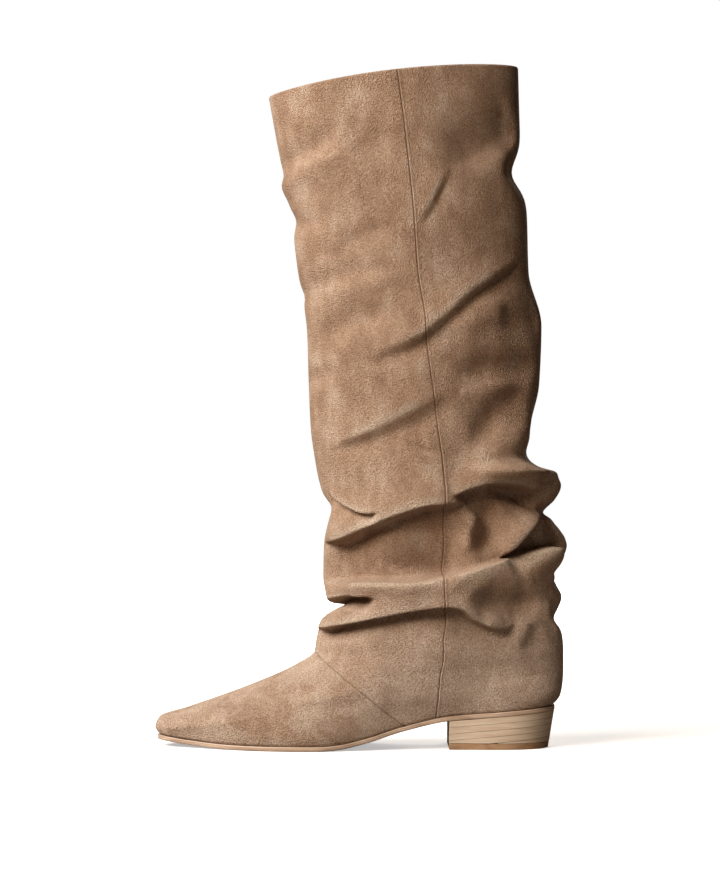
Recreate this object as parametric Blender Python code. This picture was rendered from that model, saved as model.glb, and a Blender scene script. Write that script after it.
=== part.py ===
"""Slouch knee boot for the left foot: a soft suede upper on a thin leather sole with a stacked heel.

Frame: metres, +Z up, floor at z = 0, toe towards -X, outer side of the foot towards -Y.
The sizes and tables below are in millimetres, and MM turns them into metres.
"""

import math
from typing import NamedTuple

import bmesh
import bpy
import numpy as np

MM = 0.001

# Driving sizes of the boot
TOE_X = -132.4
HEEL_X = 127.9
BALL_WIDTH = 78.4
INSTEP = 63.0
HEEL_SEAT_FRONT = 18.7
HEEL_SEAT_BACK = 24.5
TOE_SPRING = 4.6
SHAFT_FRONT = 427.0
SHAFT_BACK = 446.5

# Thicknesses and clearances
UPPER_WALL = 2.0
SOLE_THICKNESS = 3.0
SOLE_MARGIN = 0.6
SOLE_EDGE_BEVEL = 0.7
SOLE_TIP_SHARE = 0.9
LEAST_FLAT_SHARE = 0.5
INSOLE_THICKNESS = 2.4
INSOLE_CLEARANCE = 0.6
INSOLE_TOE_ROOM = 1.0
INSOLE_HEEL_ROOM = 0.5
GAP = 0.3

# Heel block
HEEL_BREAST_X = 58.5
HEEL_FOOT_BACK_X = 123.8
HEEL_MARGIN = 0.4
HEEL_FOOT_WIDTH_SHARE = 0.955
LIFT_THICKNESS = 4.2
FULL_LIFTS = 4
LEAST_WEDGE = 0.5
TOP_PIECE_THICKNESS = 3.9

# Fineness of the faceted solids
UPPER_COLUMNS = 48
SOLE_STATIONS = 44
HEEL_SIDE_STEP = 3.7
HEEL_BACK_POINTS = 14
FOLD_SEGMENTS = 24
LEAST_FOLD_WIDTH = 8.0
LEAST_FOLD_FADE = 0.4
MOST_FOLD_HOLLOW = 6.0
NORMAL_STEP = 0.25
SHARP_DEGREES = 60.0

BALL_HALF = BALL_WIDTH / 2
SOLE_LENGTH = HEEL_X - TOE_X
HALF_TURN = 180.0
SHAFT_MM_PER_DEGREE = 1.12


class SoleRow(NamedTuple):
    """One station of the sole: place from the toe, half width, sideways swing and height underneath."""

    along: float
    half_width: float
    swing: float
    under: float


SOLE = (
    SoleRow(0.000, 0.27 * BALL_HALF, 6.0, TOE_SPRING),
    SoleRow(0.085, 0.52 * BALL_HALF, 5.4, 1.9),
    SoleRow(0.180, 0.79 * BALL_HALF, 3.2, 0.3),
    SoleRow(0.275, 0.955 * BALL_HALF, 0.6, 0.0),
    SoleRow(0.355, 1.00 * BALL_HALF, -1.2, 0.0),
    SoleRow(0.405, 0.97 * BALL_HALF, -2.1, 0.0),
    SoleRow(0.450, 0.91 * BALL_HALF, -2.7, 0.7),
    SoleRow(0.520, 0.80 * BALL_HALF, -2.8, 4.4),
    SoleRow(0.620, 0.69 * BALL_HALF, -2.2, 12.2),
    SoleRow(0.733, 0.68 * BALL_HALF, -1.0, HEEL_SEAT_FRONT),
    SoleRow(0.860, 0.735 * BALL_HALF, 0.0, HEEL_SEAT_FRONT + 0.476 * (HEEL_SEAT_BACK - HEEL_SEAT_FRONT)),
    SoleRow(1.000, 0.72 * BALL_HALF, 0.0, HEEL_SEAT_BACK),
)
SOLE_NOSE = 0.035
SOLE_TAIL = 0.14
SOLE_POWER = 2.4


class Ring(NamedTuple):
    """One section of the upper, from its front point to its back point, in the boot's side view.

    seam is the side seam's share of the length from the front, and steps the number of facets up to the
    next ring. last is 1 where the ring follows the sole line and 0 on the plain shaft. nose and tail are
    the rounded shares of the length, and power is the squareness of that rounding. crown lifts the ring's
    sides above the line from front to back.
    """

    name: str
    front_x: float
    front_z: float
    back_x: float
    back_z: float
    half_width: float
    seam: float
    steps: int
    last: float = 0.0
    nose: float = 0.5
    tail: float = 0.5
    power: float = 2.0
    crown: float = 0.0


SEAT_TOP = HEEL_SEAT_BACK + SOLE_THICKNESS + GAP
TOE_TOP = TOE_SPRING + SOLE_THICKNESS + GAP
FEATHER = Ring(
    "feather", TOE_X, TOE_TOP, HEEL_X, SEAT_TOP, BALL_HALF, 0.70, 2, 1.0, SOLE_NOSE, SOLE_TAIL, SOLE_POWER
)

RINGS = (
    FEATHER,
    Ring("wall", TOE_X - 2.2, 12.5, 132.3, 34.0, 1.02 * BALL_HALF, 0.693, 2, 0.95, 0.045, 0.15, 2.4),
    Ring("toe_top", TOE_X + 0.8, 19.2, 134.0, 43.0, 0.98 * BALL_HALF, 0.688, 2, 0.75, 0.18, 0.17, 2.1),
    Ring("vamp_front", -112.4, 0.42 * INSTEP, 134.4, 50.0, 0.88 * BALL_HALF, 0.665, 2, 0.37, 0.33, 0.23),
    Ring("vamp_middle", -74.7, 0.63 * INSTEP, 134.4, 57.0, 0.85 * BALL_HALF, 0.608, 2, 0.12, 0.50, 0.32),
    Ring("vamp_back", -40.2, 0.87 * INSTEP, 134.4, 63.5, 0.885 * BALL_HALF, 0.541, 2, 0.03, 0.52, 0.44),
    Ring("instep", -29.3, INSTEP, 134.2, 68.5, 35.5, 0.512, 1),
    Ring("ankle_low", -28.6, 68.5, 133.6, 73.0, 36.5, 0.511, 3),
    Ring("ankle", -26.0, 82.0, 131.0, 85.0, 38.5, 0.522, 4),
    Ring("slouch_low", -24.0, 105.0, 128.0, 107.0, 41.0, 0.516, 4),
    Ring("slouch_middle", -23.5, 130.0, 124.0, 131.0, 42.5, 0.536, 5),
    Ring("slouch_top", -23.5, 158.0, 118.0, 158.0, 43.0, 0.555, 5),
    Ring("neck", -28.0, 182.0, 112.5, 184.0, 42.5, 0.585, 2),
    Ring("calf_low", -32.0, 210.0, 112.5, 207.0, 42.5, 0.574, 2),
    Ring("calf", -33.3, 240.0, 118.5, 238.0, 44.0, 0.529, 2),
    Ring("calf_full", -34.3, 272.0, 120.0, 276.0, 45.0, 0.5, 2),
    Ring("calf_top", -40.5, 313.0, 111.5, 312.0, 44.0, 0.514, 2),
    Ring("shin", -45.5, 352.0, 110.4, 350.0, 43.0, 0.516, 2),
    Ring("below_collar", -54.0, 396.0, 106.0, 400.0, 41.0, 0.525, 2),
    Ring("collar", -59.6, SHAFT_FRONT, 104.6, SHAFT_BACK, 38.5, 0.512, 0, crown=4.0),
)


class Fold(NamedTuple):
    """One fold of the slouched shaft, along a smooth path of (turn, height) places.

    Turn is 0 at the front, 90 on the outer side seam, 180 at the back and negative on the inner side.
    The crest stands out by rise (a trough is negative). It fades over soft millimetres on the left of the
    path and over edge on the right, where a hollow of its own depth and reach may follow. drop lets the
    crest hang down. Both ends run out over the fade share of the path.
    """

    name: str
    path: tuple
    rise: float
    soft: float
    edge: float
    hollow: float = 0.0
    reach: float = 10.0
    drop: float = 0.0
    fade: float = 0.3


FOLDS = (
    Fold("front_notch", ((-70, 162), (0, 157), (28, 157)), -7.0, 6, 14),
    Fold("upper_lip", ((9, 134), (34, 140), (54, 149), (70, 157), (85, 162), (106, 162)),
         7.0, 15, 3, 9.0, 15, 2.0, 0.2),
    Fold("upper_recess", ((1, 111), (58, 112), (83, 114), (107, 120)), -10.5, 22, 3),
    Fold("seam_pocket", ((92, 158), (92, 136), (91, 103)), -10.0, 8, 20),
    Fold("back_lip", ((94, 165), (103, 172), (122, 176), (145, 174), (165, 169)),
         3.0, 8, 2, 16.0, 16, 3.0, 0.12),
    Fold("bulge_top", ((100, 183), (135, 182), (180, 178), (215, 176), (250, 170)), 13.0, 6, 7),
    Fold("bulge_belly", ((150, 170), (165, 168), (184, 166), (215, 164), (255, 158)), 17.0, 9, 11),
    Fold("bulge_shoulder", ((140, 194), (180, 193), (225, 190)), -2.5, 7, 6),
    Fold("bulge_notch", ((158, 153), (180, 153), (205, 154)), -5.0, 4, 3.5),
    Fold("side_valley", ((122, 168), (119, 150), (113, 136), (109, 125)), -9.0, 8, 11),
    Fold("pocket_ridge", ((116, 124), (126, 133), (137, 142), (150, 151), (160, 157)), 2.5, 7, 8),
    Fold("pocket_edge", ((119, 124), (127, 130), (140, 141), (152, 149), (165, 154)),
         7.0, 10, 2, 20.0, 15, 0.0, 0.2),
    Fold("back_roll", ((172, 134), (194, 128), (222, 126)), 13.0, 20, 13, fade=0.2),
    Fold("shelf", ((178, 128), (160, 129), (129, 124), (102, 115), (80, 109)),
         7.0, 24, 2, 2.5, 12, -1.5, 0.2),
    Fold("shelf_front", ((104, 115), (90, 111), (72, 108), (50, 108), (25, 108)),
         7.0, 9, 2, 2.5, 12, -1.5, 0.25),
    Fold("shelf_end", ((177, 126), (160, 127), (140, 126), (122, 121)), 9.0, 13, 2.5, fade=0.25),
    Fold("shelf_valley", ((100, 101), (114, 96), (128, 93), (148, 97)), -8.0, 9, 9),
    Fold("front_slot", ((-60, 101), (-35, 96), (4, 96), (38, 101), (58, 100)),
         1.0, 6, 1.3, 20.0, 7, 1.0, 0.12),
    Fold("slot_lid", ((-50, 94), (0, 93), (24, 96)), -8.0, 9, 4),
    Fold("lower_lip", ((0, 77), (25, 82), (41, 85), (60, 90), (80, 95), (92, 96), (98, 94)),
         5.5, 10, 2, 10.0, 10, 2.5, 0.25),
    Fold("lower_lip_back", ((74, 93), (88, 96), (96, 95), (106, 86), (120, 80), (128, 85)),
         5.0, 9, 3.5, 9.0, 12, 1.5, 0.35),
    Fold("heel_ridge", ((130, 91), (134, 83), (129, 72), (119, 66)), 2.2, 7, 7),
    Fold("heel_valley", ((145, 82), (138, 74), (129, 65)), -2.2, 8, 8),
    Fold("back_bulge_low", ((152, 101), (180, 98), (218, 95)), 4.0, 7, 7),
    Fold("back_notch_low", ((152, 88), (180, 84), (212, 83)), -3.0, 5, 5),
    Fold("back_notch_middle", ((156, 113), (180, 113), (208, 114)), -9.5, 4.5, 2.8),
    Fold("ankle_ridge", ((92, 18), (92, 46), (91, 84)), 3.0, 26, 14),
    Fold("shin_trough", ((28, 196), (44, 203), (63, 212), (86, 226), (100, 234)), 1.2, 12, 6, 5.5, 13),
    Fold("calf_trough", ((108, 190), (112, 199), (120, 210), (130, 222), (146, 233), (162, 237)),
         -4.4, 10, 8),
    Fold("calf_ridge", ((94, 170), (114, 182), (134, 196), (151, 210), (171, 227)), 6.0, 13, 15),
    Fold("calf_hollow", ((98, 243), (122, 246), (165, 250)), -5.0, 10, 9),
    Fold("back_dimple", ((124, 274), (148, 279), (174, 283)), -3.5, 12, 12),
    Fold("shaft_diagonal", ((52, 250), (70, 259), (86, 268), (92, 274), (116, 298), (160, 322)),
         2.5, 11, 2.5, 4.0, 9),
    Fold("back_dip", ((105, 377), (128, 390), (170, 406)), -6.0, 20, 9),
    Fold("back_notch_top", ((140, 377), (180, 377), (222, 379)), -7.5, 12.5, 12.5),
    Fold("shin_dip_low", ((30, 270), (57, 279), (78, 285)), -3.0, 9, 9),
    Fold("inner_lip_top", ((-150, 160), (-110, 168), (-60, 163), (-12, 146)), 6.0, 15, 4, 6.0, 14, 3.0),
    Fold("inner_shelf", ((-25, 118), (-70, 114), (-120, 120), (-162, 128)), 4.0, 14, 3, 4.0, 12, -1.0),
    Fold("inner_lip_low", ((-132, 84), (-92, 95), (-50, 92), (-6, 84)), 5.0, 12, 3, 5.0, 10, 2.0),
    Fold("inner_trough", ((-130, 222), (-86, 232), (-40, 208)), -4.0, 9, 9),
    Fold("inner_diagonal", ((-136, 262), (-95, 282), (-58, 304)), 2.5, 12, 5, 2.0, 12),
)


def through(knots, values, at):
    """A smooth curve through the knots that never swings past its values."""
    knots, values = np.asarray(knots, float), np.asarray(values, float)
    gaps = np.diff(knots)
    slopes = np.diff(values) / gaps
    tangents = np.empty_like(values)
    tangents[0], tangents[-1] = slopes[0], slopes[-1]
    before, after = slopes[:-1], slopes[1:]
    steady = before * after > 0
    safe_sum = np.where(steady, before + after, 1.0)
    tangents[1:-1] = np.where(steady, 2 * before * after / safe_sum, 0.0)
    at = np.clip(at, knots[0], knots[-1])
    left = np.clip(np.searchsorted(knots, at, side="right") - 1, 0, len(gaps) - 1)
    gap = gaps[left]
    t = (at - knots[left]) / gap
    rising = t * t * (3 - 2 * t)
    bend = tangents[left] * t * (1 - t) ** 2 - tangents[left + 1] * t * t * (1 - t)
    return values[left] * (1 - rising) + values[left + 1] * rising + gap * bend


def rounding(share, rounded, power):
    """Grows from 0 at an end to 1 once the rounded share of the length is passed."""
    left = np.clip(1 - share / rounded, 0.0, 1.0)
    return (1 - left**power) ** (1 / power)


SOLE_ALONG = [row.along for row in SOLE]


def sole_value(field, x):
    """A column of the sole table at a place along X."""
    share = (np.asarray(x, float) - TOE_X) / SOLE_LENGTH
    return through(SOLE_ALONG, [getattr(row, field) for row in SOLE], share)


def sole_half_width(x, margin=0.0):
    """The sole's half width at x, with its squared toe and round back, grown by a margin."""
    share = (np.asarray(x, float) - TOE_X + margin) / (SOLE_LENGTH + 2 * margin)
    ends = rounding(share, SOLE_NOSE, SOLE_POWER) * rounding(1 - share, SOLE_TAIL, SOLE_POWER)
    return (sole_value("half_width", x) + margin) * ends


def ring_spacing(low, high):
    """The middle distance between two rings, half way between their front and back distances."""
    front = math.hypot(high.front_x - low.front_x, high.front_z - low.front_z)
    back = math.hypot(high.back_x - low.back_x, high.back_z - low.back_z)
    return (front + back) / 2


RING_SPACINGS = [ring_spacing(low, high) for low, high in zip(RINGS, RINGS[1:])]
RING_RISE = np.concatenate([[0.0], np.cumsum(RING_SPACINGS)])


def ring_value(field, rise):
    """A column of the ring table at a place along the upper, from the feather line to the collar."""
    return through(RING_RISE, [getattr(ring, field) for ring in RINGS], rise)


def plain_upper(turn, rise):
    """The unfolded upper: points at a turn round the leg and a rise from the feather line."""
    wrapped = (turn + HALF_TURN) % (2 * HALF_TURN) - HALF_TURN
    around = np.abs(wrapped) / HALF_TURN
    seam_angle = np.arccos(1 - 2 * ring_value("seam", rise))
    front_part = 2 * around * seam_angle
    back_part = seam_angle + (2 * around - 1) * (math.pi - seam_angle)
    along = (1 - np.cos(np.where(around < 0.5, front_part, back_part))) / 2
    x = ring_value("front_x", rise) * (1 - along) + ring_value("back_x", rise) * along
    flat_z = ring_value("front_z", rise) * (1 - along) + ring_value("back_z", rise) * along
    last = ring_value("last", rise)
    power = ring_value("power", rise)
    shape = 1 - last + last * sole_value("half_width", x) / BALL_HALF
    nose = rounding(along, ring_value("nose", rise), power)
    tail = rounding(1 - along, ring_value("tail", rise), power)
    half = ring_value("half_width", rise) * shape * nose * tail
    sole_line = sole_value("under", x) + SOLE_THICKNESS + GAP
    feather_line = FEATHER.front_z * (1 - along) + FEATHER.back_z * along
    y = sole_value("swing", x) - np.sign(wrapped) * half
    lifted = flat_z + ring_value("crown", rise) * (1 - (2 * along - 1) ** 2)
    return np.stack([x, y, lifted + last * (sole_line - feather_line)], axis=-1)


def fold_path(fold):
    """The fold's path as unrolled points: millimetres round the shaft and height."""
    places = np.array(fold.path, float) * np.array([SHAFT_MM_PER_DEGREE, 1.0])
    travel = np.concatenate([[0.0], np.cumsum(np.linalg.norm(np.diff(places, axis=0), axis=1))])
    at = np.linspace(0.0, travel[-1], FOLD_SEGMENTS + 1)
    return np.stack([through(travel, places[:, 0], at), through(travel, places[:, 1], at)], axis=-1)


def fold_push(fold, turn, z):
    """How far a fold pushes each place out, and how strongly its crest acts there.

    A fold that is narrower or deeper than the facets can follow is blunted: it is widened and its rise is
    lowered in step.
    """
    middle = np.mean([place[0] for place in fold.path])
    near_turn = (turn - middle + HALF_TURN) % (2 * HALF_TURN) - HALF_TURN + middle
    place = np.stack([near_turn * SHAFT_MM_PER_DEGREE, z], axis=-1)[..., None, :]
    path = fold_path(fold)
    start, step = path[:-1], np.diff(path, axis=0)
    share = np.clip(((place - start) * step).sum(-1) / (step**2).sum(-1), 0.0, 1.0)
    offset = place - (start + share[..., None] * step)
    distance = np.linalg.norm(offset, axis=-1)
    best = distance.argmin(axis=-1)[..., None]
    turned = step[:, 0] * offset[..., 1] - step[:, 1] * offset[..., 0]
    away = np.take_along_axis(distance, best, -1)[..., 0]
    on_left = np.take_along_axis(turned, best, -1)[..., 0] > 0
    done = (best[..., 0] + np.take_along_axis(share, best, -1)[..., 0]) / FOLD_SEGMENTS
    inward = np.clip(np.minimum(done, 1 - done) / max(fold.fade, LEAST_FOLD_FADE), 0.0, 1.0)
    fade = inward * inward * (3 - 2 * inward)
    soft, edge, reach = (max(width, LEAST_FOLD_WIDTH) for width in (fold.soft, fold.edge, fold.reach))
    rise = fold.rise * (fold.soft + fold.edge) / (soft + edge)
    depth = min(fold.hollow, MOST_FOLD_HOLLOW)
    crest = np.exp(-((away / np.where(on_left, soft, edge)) ** 2))
    hollow = np.where(on_left, 0.0, (1 - crest) * np.exp(-((away / reach) ** 2)))
    return fade * (rise * crest - depth * hollow), fade * crest


def folded_upper(turn, rise):
    """The slouched upper: the plain one with every fold pushed out along the surface and let down."""
    points = plain_upper(turn, rise)
    across = plain_upper(turn + NORMAL_STEP, rise) - plain_upper(turn - NORMAL_STEP, rise)
    upward = plain_upper(turn, rise + NORMAL_STEP) - plain_upper(turn, rise - NORMAL_STEP)
    normal = np.cross(across, upward)
    normal /= np.linalg.norm(normal, axis=-1, keepdims=True)
    out, drop = np.zeros(turn.shape), np.zeros(turn.shape)
    for fold in FOLDS:
        push, crest = fold_push(fold, turn, points[..., 2])
        out += push
        drop += fold.drop * crest
    return points + out[..., None] * normal - drop[..., None] * np.array([0.0, 0.0, 1.0])


class Finish(NamedTuple):
    """The plain look of one sub-part: linear base colour and roughness."""

    name: str
    colour: tuple
    roughness: float


SAND_SUEDE = Finish("sand_suede", (0.42, 0.28, 0.19), 0.95)
SOLE_LEATHER = Finish("sole_leather", (0.50, 0.33, 0.23), 0.6)
STACKED_LEATHER = Finish("stacked_leather", (0.60, 0.44, 0.30), 0.55)
TOP_PIECE_RUBBER = Finish("top_piece_rubber", (0.36, 0.22, 0.13), 0.7)
INSOLE_LEATHER = Finish("insole_leather", (0.55, 0.42, 0.30), 0.7)


def clear_scene():
    """Removes every object of the opening scene."""
    for obj in list(bpy.data.objects):
        bpy.data.objects.remove(obj)


def finish_material(finish):
    """A Principled material in a finish."""
    material = bpy.data.materials.new(finish.name)
    material.use_nodes = True
    shader = material.node_tree.nodes["Principled BSDF"]
    shader.inputs["Base Color"].default_value = (*finish.colour, 1.0)
    shader.inputs["Roughness"].default_value = finish.roughness
    shader.inputs["Metallic"].default_value = 0.0
    return material


def add_object(name, mesh_data, material, parent):
    """Links a finished bmesh to the scene as one smooth-shaded object."""
    mesh = bpy.data.meshes.new(name)
    bmesh.ops.recalc_face_normals(mesh_data, faces=mesh_data.faces)
    mesh_data.to_mesh(mesh)
    mesh_data.free()
    mesh.shade_smooth()
    mesh.set_sharp_from_angle(angle=math.radians(SHARP_DEGREES))
    mesh.materials.append(material)
    obj = bpy.data.objects.new(name, mesh)
    obj.parent = parent
    bpy.context.scene.collection.objects.link(obj)
    return obj


def add_loops(mesh_data, loops):
    """Adds closed loops of points, in millimetres, and skins each to the next."""
    rows = [[mesh_data.verts.new(np.asarray(point) * MM) for point in loop] for loop in loops]
    for low, high in zip(rows, rows[1:]):
        for i in range(len(low)):
            j = (i + 1) % len(low)
            mesh_data.faces.new((low[i], low[j], high[j], high[i]))
    return rows


def capped_loft(loops):
    """A closed solid skinned through loops, with a flat cap on the first and the last."""
    mesh_data = bmesh.new()
    rows = add_loops(mesh_data, loops)
    mesh_data.faces.new(rows[0])
    mesh_data.faces.new(rows[-1])
    return mesh_data


def build_upper(material, parent):
    """The upper: one hollow wall, open at the collar and along the feather line."""
    rises = [RING_RISE[0]]
    for ring, low, high in zip(RINGS, RING_RISE, RING_RISE[1:]):
        rises.extend(np.linspace(low, high, ring.steps + 1)[1:])
    turns = np.linspace(0.0, 2 * HALF_TURN, UPPER_COLUMNS, endpoint=False)
    turn, rise = np.meshgrid(turns, rises)
    mesh_data = bmesh.new()
    add_loops(mesh_data, folded_upper(turn, rise))
    upper = add_object("upper", mesh_data, material, parent)
    wall = upper.modifiers.new("wall", "SOLIDIFY")
    wall.thickness = UPPER_WALL * MM
    wall.offset = -1.0
    wall.use_rim = True
    return upper


def end_spaced(low, high, count):
    """Places from low to high, closer together towards both ends."""
    return low + (high - low) * (1 - np.cos(np.linspace(0.0, math.pi, count))) / 2


def sole_section(x, half, bottom, top, bevel):
    """The sole cut across at x: a flat slab whose edge is bevelled above and below."""
    inner = max(half - bevel, half * LEAST_FLAT_SHARE)
    edge = [(inner, bottom), (half, bottom + bevel), (half, top - bevel / 2), (inner, top)]
    swing = float(sole_value("swing", x))
    outer_side = [(x, swing - y, z) for y, z in edge]
    inner_side = [(x, swing + y, z) for y, z in reversed(edge)]
    return outer_side + inner_side


def build_outsole(material, parent):
    """The thin leather outsole, from the squared toe over the arch to the heel seat."""
    tip = SOLE_MARGIN * SOLE_TIP_SHARE
    sections = []
    for x in end_spaced(TOE_X - tip, HEEL_X + tip, SOLE_STATIONS):
        half = max(float(sole_half_width(x, SOLE_MARGIN)), SOLE_MARGIN)
        under = float(sole_value("under", x))
        sections.append(sole_section(x, half, under, under + SOLE_THICKNESS, SOLE_EDGE_BEVEL))
    return add_object("outsole", capped_loft(sections), material, parent)


def build_insole(material, parent):
    """The insole, lying on the outsole inside the upper's wall."""
    inset = UPPER_WALL + INSOLE_CLEARANCE
    front_x = TOE_X + inset + INSOLE_TOE_ROOM
    back_x = HEEL_X - inset - INSOLE_HEEL_ROOM
    sections = []
    for x in end_spaced(front_x, back_x, SOLE_STATIONS):
        half = max(float(sole_half_width(x, -inset)), SOLE_MARGIN)
        bottom = float(sole_value("under", x)) + SOLE_THICKNESS + GAP
        sections.append(sole_section(x, half, bottom, bottom + INSOLE_THICKNESS, SOLE_EDGE_BEVEL / 2))
    return add_object("insole", capped_loft(sections), material, parent)


def heel_outline(front_x):
    """The heel's outline under the seat, from the breast along the outer side, round the back and home."""
    back_x = HEEL_X + HEEL_MARGIN
    tail_x = HEEL_X - SOLE_TAIL * SOLE_LENGTH
    side_points = max(1, round((tail_x - front_x) / HEEL_SIDE_STEP))
    sides = np.linspace(front_x, tail_x, side_points, endpoint=False)
    turn = np.linspace(0.0, math.pi / 2, HEEL_BACK_POINTS)
    xs = np.concatenate([sides, tail_x + (back_x - tail_x) * np.sin(turn)])
    halves = np.maximum(sole_half_width(xs, HEEL_MARGIN), 0.0)
    outer_side = [(x, float(sole_value("swing", x)) - half) for x, half in zip(xs, halves)]
    inner_side = [(x, float(sole_value("swing", x)) + half) for x, half in zip(xs[:-1], halves[:-1])]
    return outer_side + inner_side[::-1]


def seat_height(x):
    """The underside of the sole over the heel, which the lifts run parallel to."""
    share = (x - HEEL_BREAST_X) / (HEEL_X - HEEL_BREAST_X)
    return HEEL_SEAT_FRONT + share * (HEEL_SEAT_BACK - HEEL_SEAT_FRONT)


def heel_point(x, y, z):
    """A place of the heel's outline brought down to height z, where the heel is shorter and narrower."""
    low = 1 - z / seat_height(x)
    length_share = (HEEL_FOOT_BACK_X - HEEL_BREAST_X) / (HEEL_X - HEEL_BREAST_X)
    behind = (x - HEEL_BREAST_X) * (1 + (length_share - 1) * low)
    return (HEEL_BREAST_X + behind, y * (1 + (HEEL_FOOT_WIDTH_SHARE - 1) * low), z)


def build_lift(name, front_x, upper_depth, lower_depth, material, parent):
    """One lift of the stack between two depths below the seat, trimmed flat where the top piece goes."""
    floor_z = TOP_PIECE_THICKNESS + GAP
    outline = heel_outline(front_x)
    low = [heel_point(x, y, max(seat_height(x) - lower_depth, floor_z)) for x, y in outline]
    high = [heel_point(x, y, seat_height(x) - upper_depth) for x, y in outline]
    return add_object(name, capped_loft([low, high]), material, parent)


def build_heel(stack_material, tip_material, parent):
    """The stacked heel: full lifts, a wedge that fills up to the floor plane, and the top piece."""
    for number in range(FULL_LIFTS):
        upper_depth = GAP + number * LIFT_THICKNESS
        lower_depth = (number + 1) * LIFT_THICKNESS
        name = f"heel_lift_{number + 1}"
        build_lift(name, HEEL_BREAST_X, upper_depth, lower_depth, stack_material, parent)
    wedge_depth = FULL_LIFTS * LIFT_THICKNESS + GAP
    seat_slope = (HEEL_SEAT_BACK - HEEL_SEAT_FRONT) / (HEEL_X - HEEL_BREAST_X)
    thin_seat = wedge_depth + LEAST_WEDGE + TOP_PIECE_THICKNESS + GAP
    wedge_x = HEEL_BREAST_X + (thin_seat - HEEL_SEAT_FRONT) / seat_slope
    build_lift("heel_wedge", wedge_x, wedge_depth, HEEL_SEAT_BACK, stack_material, parent)
    outline = heel_outline(HEEL_BREAST_X)
    loops = [[heel_point(x, y, z) for x, y in outline] for z in (0.0, TOP_PIECE_THICKNESS)]
    add_object("heel_top_piece", capped_loft(loops), tip_material, parent)


def main():
    """Builds every sub-part under one empty."""
    clear_scene()
    boot = bpy.data.objects.new("boot", None)
    bpy.context.scene.collection.objects.link(boot)
    build_upper(finish_material(SAND_SUEDE), boot)
    build_outsole(finish_material(SOLE_LEATHER), boot)
    build_insole(finish_material(INSOLE_LEATHER), boot)
    build_heel(finish_material(STACKED_LEATHER), finish_material(TOP_PIECE_RUBBER), boot)


main()
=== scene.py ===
"""Looks of the slouch knee boot: suede panels with folds and seams, leather sole and stacked heel.

The sizes and tables are in millimetres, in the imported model's frame: +Z up, floor at z = 0, toe towards -X
and the outer side of the foot towards -Y. MM turns them into metres.
"""

import logging
import math
from collections.abc import Iterable, Sequence
from dataclasses import dataclass, field
from enum import Enum
from typing import Any, NamedTuple

import bpy
import numpy as np
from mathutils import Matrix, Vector


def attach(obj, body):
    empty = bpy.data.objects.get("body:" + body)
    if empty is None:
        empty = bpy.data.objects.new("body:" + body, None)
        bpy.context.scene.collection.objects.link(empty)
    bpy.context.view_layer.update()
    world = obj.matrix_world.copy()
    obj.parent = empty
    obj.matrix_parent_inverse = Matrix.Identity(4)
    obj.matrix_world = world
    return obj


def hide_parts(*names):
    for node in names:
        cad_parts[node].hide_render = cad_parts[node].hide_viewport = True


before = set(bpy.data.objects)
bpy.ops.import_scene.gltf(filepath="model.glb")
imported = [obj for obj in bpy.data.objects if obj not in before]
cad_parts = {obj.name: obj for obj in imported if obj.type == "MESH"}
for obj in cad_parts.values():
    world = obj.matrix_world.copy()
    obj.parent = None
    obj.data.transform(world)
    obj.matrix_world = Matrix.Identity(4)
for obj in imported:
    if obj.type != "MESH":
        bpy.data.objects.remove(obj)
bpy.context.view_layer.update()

LOG = logging.getLogger("boot")
BODY = "root"
MM = 0.001
HALF_TURN = 180.0
SEAM_TURN = 90.0
NORMAL_STEP = 0.25
SHARP_EDGE = math.radians(40.0)
WHITE = "#ffffff"

Array = np.ndarray
Colour = tuple[float, float, float, float]
Point = tuple[float, float, float]
Stops = tuple[tuple[float, str], ...]
Tree = bpy.types.NodeTree
Node = bpy.types.Node
Socket = bpy.types.NodeSocket
Material = bpy.types.Material
Piece = bpy.types.Object


class Slot(Enum):
    """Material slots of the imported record."""

    SUEDE = "sand_suede"
    SOLE = "sole_leather"
    INSOLE = "insole_leather"
    STACK = "stacked_leather"
    TOP_PIECE = "top_piece_rubber"


class Side(Enum):
    """The two sides of the boot, by the sign of their turn round the leg."""

    OUTER = 1
    INNER = -1


@dataclass(frozen=True)
class BootSizes:
    """Driving sizes of the boot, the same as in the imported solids."""

    toe_x: float = -132.4
    heel_x: float = 127.9
    ball_half: float = 39.2
    instep: float = 63.0
    seat_front: float = 18.7
    seat_back: float = 24.5
    toe_spring: float = 4.6
    shaft_front: float = 427.0
    shaft_back: float = 446.5
    sole_thickness: float = 3.0
    sole_nose: float = 0.035
    sole_tail: float = 0.14
    sole_power: float = 2.4
    gap: float = 0.3
    shaft_mm_per_degree: float = 1.12

    @property
    def sole_length(self) -> float:
        """Length of the sole from toe to heel."""
        return self.heel_x - self.toe_x


BOOT = BootSizes()


class SoleRow(NamedTuple):
    """One station of the sole: place from the toe, share of the ball's width, swing and height below."""

    along: float
    width: float
    swing: float
    under: float


BREAST_ALONG = 0.733
SEAT_MIDDLE_SHARE = 0.476
SEAT_RISE = BOOT.seat_back - BOOT.seat_front
SOLE = (
    SoleRow(0.000, 0.27, 6.0, BOOT.toe_spring),
    SoleRow(0.085, 0.52, 5.4, 1.9),
    SoleRow(0.180, 0.79, 3.2, 0.3),
    SoleRow(0.275, 0.955, 0.6, 0.0),
    SoleRow(0.355, 1.00, -1.2, 0.0),
    SoleRow(0.405, 0.97, -2.1, 0.0),
    SoleRow(0.450, 0.91, -2.7, 0.7),
    SoleRow(0.520, 0.80, -2.8, 4.4),
    SoleRow(0.620, 0.69, -2.2, 12.2),
    SoleRow(BREAST_ALONG, 0.68, -1.0, BOOT.seat_front),
    SoleRow(0.860, 0.735, 0.0, BOOT.seat_front + SEAT_MIDDLE_SHARE * SEAT_RISE),
    SoleRow(1.000, 0.72, 0.0, BOOT.seat_back),
)


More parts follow.
